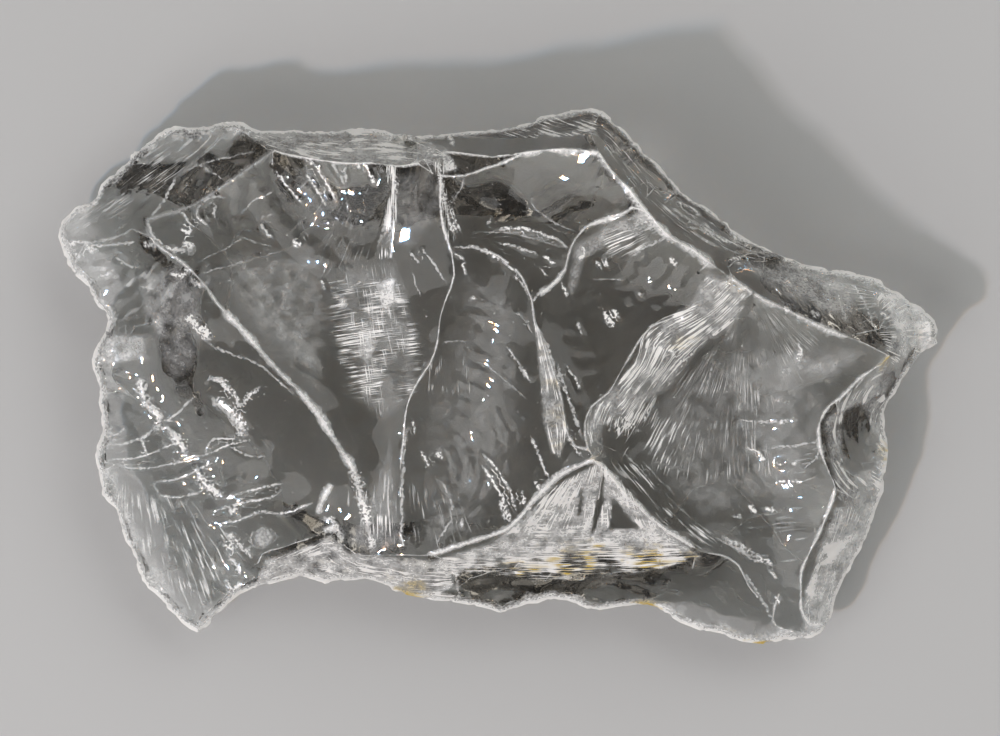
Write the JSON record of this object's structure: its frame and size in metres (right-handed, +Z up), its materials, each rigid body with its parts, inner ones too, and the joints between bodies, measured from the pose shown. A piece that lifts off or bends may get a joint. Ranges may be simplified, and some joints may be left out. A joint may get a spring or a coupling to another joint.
{
  "type": "andara crystal",
  "caption": "Hand-sized lump of clear natural glass, broken all round into hollow scars and sharp frosted ridges, lying on a flat facet.",
  "frame": {"origin": "centre of the lump's box, at the level of the flat facet that it lies on", "axes": "+X along the lump's length towards its blunt nose, +Y towards the thick frosted side, +Z up out of the flat facet"},
  "size_m": [0.132, 0.0804, 0.031],
  "materials": {
    "clear_glass": "clear, glossy on the broken faces, frosted and chipped white along ridges and rim, with faint ochre stains in the cracks"
  },
  "bodies": {
    "root": {"andara_crystal": "clear_glass"}
  },
  "joints": []
}
